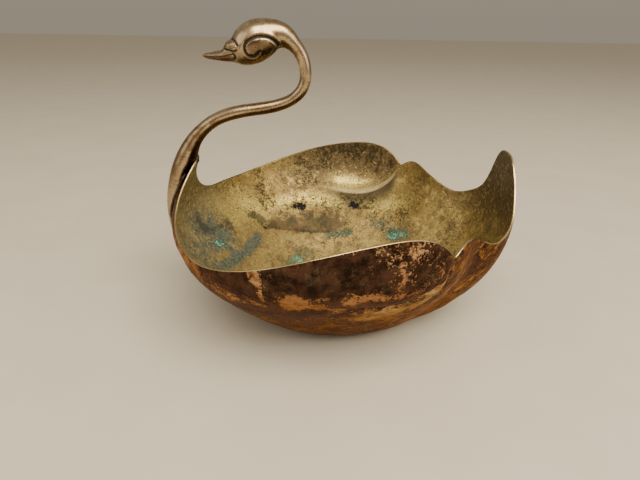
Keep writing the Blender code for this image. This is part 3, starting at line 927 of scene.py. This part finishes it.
def outside_brass():
    """Copper and gold where the surface is worn, under a dark ragged layer of tarnish."""
    s = Shading("outside_brass")
    middle = s.noise(6, 6, 0.68)
    fine = s.noise(1.4, 5, 0.75)
    behind = s.field("behind_wing")
    belly = s.field("belly")
    under = s.field("under_wing")
    slant = s.flow(0.65, 0.76, 0.18)
    level = s.flow(0.05, 1.0, 0.22)
    streaks = s.sum(s.noise(4.2, 8, 0.74, 1.2, vector=slant), s.ragged(1.2, 0.4, 5))
    bands = s.sum(s.noise(6.0, 7, 0.72, 1.0, vector=level), s.ragged(1.6, 0.3, 4))

    colour = s.mix(s.patchy(24, 3, 0.55, 0.4, 0.6), (0.33, 0.165, 0.08), (0.45, 0.262, 0.135))
    colour = s.mix(s.step(middle, 0.48, 0.66, 0.0, 0.9), colour, (0.15, 0.064, 0.024))
    streaked = s.mix(s.step(streaks, 0.45, 0.53), (0.35, 0.18, 0.052), (0.046, 0.017, 0.006))
    lines = s.noise(1.7, 6, 0.75, 0.7, vector=slant)
    streaked = s.mix(s.step(lines, 0.51, 0.58, 0.0, 0.75), streaked, (0.036, 0.013, 0.005))
    streaked = s.mix(s.step(lines, 0.45, 0.39, 0.0, 0.6), streaked, (0.48, 0.28, 0.105))
    colour = s.mix(s.times(behind, 0.94), colour, streaked)
    low = s.mix(s.step(bands, 0.44, 0.55), (0.215, 0.098, 0.026), (0.046, 0.017, 0.005))
    low = s.mix(s.patchy(4, 7, 0.74, 0.55, 0.63, 0.7), low, (0.32, 0.178, 0.068))
    colour = s.mix(s.times(belly, 0.94), colour, low)
    # Painted reflection: a pale band under the wing
    pale = s.mix(s.step(bands, 0.44, 0.58), (0.54, 0.39, 0.2), (0.27, 0.172, 0.078))
    colour = s.mix(s.times(under, 0.9), colour, pale)
    colour = s.mix(s.step(fine, 0.5, 0.64, 0.0, 0.5), colour, (0.08, 0.032, 0.01))
    # Painted highlight along the wing's lower edge, partly also rubbed bright
    colour = s.tint(colour, "crease_edge", 0.6, (0.48, 0.3, 0.1))

    # The dark layer is cleared where worn, behind the wing, on the belly, and under the wing, where
    # it shows the painted reflection
    worn = s.sum(s.times(s.field("worn"), -1.2), s.times(behind, -0.66))
    worn = s.sum(worn, s.times(belly, -0.72), s.times(under, -0.75))
    worn = s.sum(worn, s.times(s.field("broken"), -0.2))
    ragged = s.sum(s.ragged(9, 3.2, 9, 0.72, 0.8), s.ragged(2.6, 3.0, 7, 0.74, 1.4))
    ragged = s.sum(ragged, s.ragged(0.9, 1.1, 4))
    squiggles = s.times(s.ragged(3.2, 5.2, 6, 0.68, 2.6), s.field("broken"))
    cover = s.sum(0.9, worn, ragged, squiggles)
    streaky = s.larger(behind, belly)
    halo = s.times(s.step(cover, -0.08, 0.14, 0.0, 0.75), s.blend(streaky, 1.0, 0.2))
    colour = s.mix(halo, colour, (0.13, 0.052, 0.016))
    layer = s.step(cover, 0.1, 0.3)
    flecks = s.step(s.sum(s.ragged(1.1, 3.0, 5, 0.7), s.ragged(12, 2.4, 3)), 0.6, 0.8)
    layer = s.maths("SUBTRACT", layer, s.times(flecks, 0.7), clamp=True)
    dark = s.mix(s.patchy(8, 7, 0.7, 0.4, 0.62), (0.008, 0.0042, 0.0036), (0.052, 0.025, 0.016))
    dust = s.step(s.sum(s.noise(5, 4, 0.6), s.ragged(0.8, 0.6, 4)), 0.55, 0.72, 0.0, 0.45)
    dark = s.mix(dust, dark, (0.105, 0.078, 0.05))
    colour = s.mix(layer, colour, dark)

    bare = s.step(middle, 0.3, 0.75, 0.32, 0.5)
    roughness = s.blend(layer, bare, s.step(fine, 0.3, 0.7, 0.38, 0.56))
    relief = s.sum(s.times(middle, 0.45), s.times(fine, 0.35))
    relief = s.sum(relief, s.times(layer, 0.35))
    s.shader.inputs["Specular Tint"].default_value = (0.82, 0.48, 0.23, 1.0)
    s.shader.inputs["Specular IOR Level"].default_value = 0.3
    return s.finish(colour, roughness, s.blend(layer, 0.8, 0.6), s.bump(relief, 0.16))


def rim_brass():
    """The sawn edge, rubbed bright by hands, with a few dark nicks."""
    s = Shading("rim_brass")
    nicks = s.patchy(2.5, 5, 0.7, 0.62, 0.7)
    worn = s.patchy(16, 3, 0.6, 0.35, 0.65)
    colour = s.mix(worn, (0.44, 0.33, 0.14), (0.66, 0.53, 0.29))
    # Darker on the far half of the rim
    colour = s.tint(colour, "far_rim_darker", 0.85, (0.21, 0.15, 0.072))
    colour = s.mix(nicks, colour, (0.13, 0.085, 0.04))
    return s.finish(colour, s.step(worn, 0, 1, 0.34, 0.2), 1.0, s.bump(s.noise(0.9, 4, 0.6), 0.05))


def neck_plate():
    """Worn silver plate over brass: warm grey, brown below, partly as painted shade, and black in
    the grooves; painted shade behind the foot, a painted dark reflection on the cheek and a painted
    highlight on its crest.
    """
    s = Shading("neck_plate")
    middle = s.noise(4.5, 6, 0.68)
    fine = s.noise(0.9, 5, 0.7)
    colour = s.mix(s.patchy(20, 3, 0.55, 0.38, 0.62), (0.3, 0.21, 0.118), (0.44, 0.335, 0.212))
    colour = s.mix(s.step(middle, 0.5, 0.68), colour, (0.18, 0.112, 0.055))
    colour = s.mix(s.patchy(8, 5, 0.7, 0.58, 0.68, 0.7), colour, (0.6, 0.49, 0.32))
    # Painted dark reflection on the cheek inside the curl
    colour = s.tint(colour, "cheek", 0.8, (0.115, 0.07, 0.042))
    # Darker underneath: partly tarnish, partly painted shade
    beneath = s.step(s.sum(s.field("under"), s.ragged(5, 1.6, 6)), 0.1, 0.75)
    colour = s.mix(s.times(beneath, 0.72), colour, (0.1, 0.062, 0.028))
    # Painted shade on the back of the foot, between the neck and the tab
    foot_shade = s.step(s.sum(s.field("foot"), s.ragged(5, 1.8, 6)), 0.35, 0.9)
    colour = s.mix(s.times(foot_shade, 0.9), colour, (0.036, 0.018, 0.014))
    # The beak is darker below as well, partly as painted shade
    below = s.step(s.field("under"), 0.0, 0.5)
    beak_colour = s.mix(below, (0.27, 0.22, 0.135), (0.13, 0.062, 0.034))
    colour = s.tint(colour, "beak", 0.85, beak_colour)
    # Painted highlight along the crest inside the curl
    colour = s.tint(colour, "crest", 0.7, (0.7, 0.58, 0.4))
    pits = s.times(s.spots(3.4, 0.12), s.patchy(14, 2, 0.5, 0.5, 0.6))
    deep = s.step(s.sum(s.field("groove"), s.ragged(1.2, 0.6, 4)), 0.25, 0.8)
    dirt = s.larger(deep, s.times(pits, 0.9))
    colour = s.mix(dirt, colour, (0.016, 0.01, 0.008))
    roughness = s.blend(dirt, s.step(middle, 0.3, 0.75, 0.2, 0.34), 0.6)
    relief = s.sum(s.times(s.noise(5, 2, 0.5), 0.6), s.times(fine, 0.1))
    relief = s.sum(relief, s.times(pits, -0.8))
    return s.finish(colour, roughness, s.blend(dirt, 1.0, 0.4), s.bump(relief, 0.045))


def dull_solder():
    """Grey-brown lumpy solder."""
    s = Shading("dull_solder")
    middle = s.noise(1.6, 5, 0.7)
    colour = s.mix(s.step(middle, 0.35, 0.65), (0.03, 0.022, 0.018), (0.105, 0.082, 0.06))
    roughness = s.step(middle, 0.3, 0.7, 0.45, 0.7)
    return s.finish(colour, roughness, 0.8, s.bump(s.noise(0.6, 4, 0.6), 0.08))


def floor_surface():
    s = Shading("pale_floor")
    colour = s.mix(s.patchy(60, 4, 0.6, 0.3, 0.7), (0.6, 0.555, 0.47), (0.63, 0.585, 0.5))
    s.put(s.shader.inputs["Specular IOR Level"], 0.25)
    return s.finish(colour, 0.75, 0.0, s.bump(s.noise(1.2, 4, 0.6), 0.02))


# ---------------------------------------------------------------- studio

# Where the camera stands, its turns in degrees and its focal length in pixels of the image
CAMERA_AT = (-17.35, -272.3, 167.5)
CAMERA_YAW = -0.51
CAMERA_PITCH = 23.97
CAMERA_ROLL = 0.96
CAMERA_FOCUS = 488.02
IMAGE_WIDTH = 640

# How high up the sky starts and stops brightening, and its strength at each; the floor, in metres
SKY_RANGE = (0.0, 0.7, 0.32, 0.5)
FLOOR_HALF = 6.0
FLOOR_GAP = 0.0002


def make_camera():
    yaw, pitch, roll = (math.radians(turn) for turn in (CAMERA_YAW, CAMERA_PITCH, CAMERA_ROLL))
    level = Vector((-math.sin(yaw), math.cos(yaw), 0))
    right = Vector((math.cos(yaw), math.sin(yaw), 0))
    ahead = level * math.cos(pitch) - Vector((0, 0, math.sin(pitch)))
    up = level * math.sin(pitch) + Vector((0, 0, math.cos(pitch)))
    axes = (
        right * math.cos(roll) + up * math.sin(roll),
        up * math.cos(roll) - right * math.sin(roll),
        -ahead,
    )
    data = bpy.data.cameras.new("camera")
    data.sensor_width = 36.0
    data.lens = CAMERA_FOCUS / IMAGE_WIDTH * data.sensor_width
    data.clip_start = 0.01
    camera = bpy.data.objects.new("camera", data)
    bpy.context.scene.collection.objects.link(camera)
    place = Matrix.Translation(Vector(CAMERA_AT) * MM)
    turn = Matrix([[axis[i] for axis in axes] for i in range(3)]).to_4x4()
    camera.matrix_world = place @ turn
    bpy.context.scene.camera = camera


def make_light(name, place, aim, size, power, colour):
    data = bpy.data.lights.new(name, "AREA")
    data.shape = "RECTANGLE"
    data.size, data.size_y = size
    data.energy = power
    data.color = colour
    light = bpy.data.objects.new(name, data)
    bpy.context.scene.collection.objects.link(light)
    light.location = place
    light.rotation_euler = (Vector(aim) - Vector(place)).to_track_quat("-Z", "Y").to_euler()


def make_studio():
    world = bpy.data.worlds.new("studio")
    world.use_nodes = True
    nodes = world.node_tree.nodes
    sky = nodes["Background"]
    sky.inputs["Color"].default_value = (0.95, 0.83, 0.64, 1.0)
    direction = nodes.new("ShaderNodeTexCoord")
    split = nodes.new("ShaderNodeSeparateXYZ")
    ramp = nodes.new("ShaderNodeMapRange")
    for socket, number in zip(RANGE_SOCKETS, SKY_RANGE):
        ramp.inputs[socket].default_value = number
    world.node_tree.links.new(direction.outputs["Generated"], split.inputs[0])
    world.node_tree.links.new(split.outputs["Z"], ramp.inputs["Value"])
    world.node_tree.links.new(ramp.outputs["Result"], sky.inputs["Strength"])
    bpy.context.scene.world = world
    make_light("key", (0.22, -0.83, 1.14), (0, 0, 0.06), (1.3, 0.8), 33.0, (1.0, 0.885, 0.69))
    make_light("right", (1.0, -0.6, 0.6), (0, 0, 0.08), (0.8, 0.8), 5.0, (1.0, 0.91, 0.77))
    make_light("left", (-1.0, -0.6, 0.6), (0, 0, 0.08), (0.8, 0.8), 2.6, (1.0, 0.92, 0.8))
    mesh = bpy.data.meshes.new("floor")
    corners = [(x * FLOOR_HALF, y * FLOOR_HALF, 0) for x, y in ((-1, -1), (1, -1), (1, 1), (-1, 1))]
    mesh.from_pydata(corners, [], [(0, 1, 2, 3)])
    mesh.materials.append(floor_surface())
    floor = bpy.data.objects.new("floor", mesh)
    floor.location.z = -FLOOR_GAP
    bpy.context.scene.collection.objects.link(floor)


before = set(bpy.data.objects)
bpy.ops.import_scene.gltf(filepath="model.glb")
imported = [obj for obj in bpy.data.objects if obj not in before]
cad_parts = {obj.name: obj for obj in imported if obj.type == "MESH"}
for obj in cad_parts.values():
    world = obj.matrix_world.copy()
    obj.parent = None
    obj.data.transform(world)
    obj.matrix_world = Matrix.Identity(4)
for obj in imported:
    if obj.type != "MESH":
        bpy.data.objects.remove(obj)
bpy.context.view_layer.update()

make_camera()
make_studio()
make_bowl([outside_brass(), inside_brass(), rim_brass()])
make_swan(neck_plate())
solder = dull_solder()
make_solder_run("solder_run_left", 1, solder, "solder_fillet_left")
make_solder_run("solder_run_right", -1, solder, "solder_fillet_right")
make_solder_lump(solder)
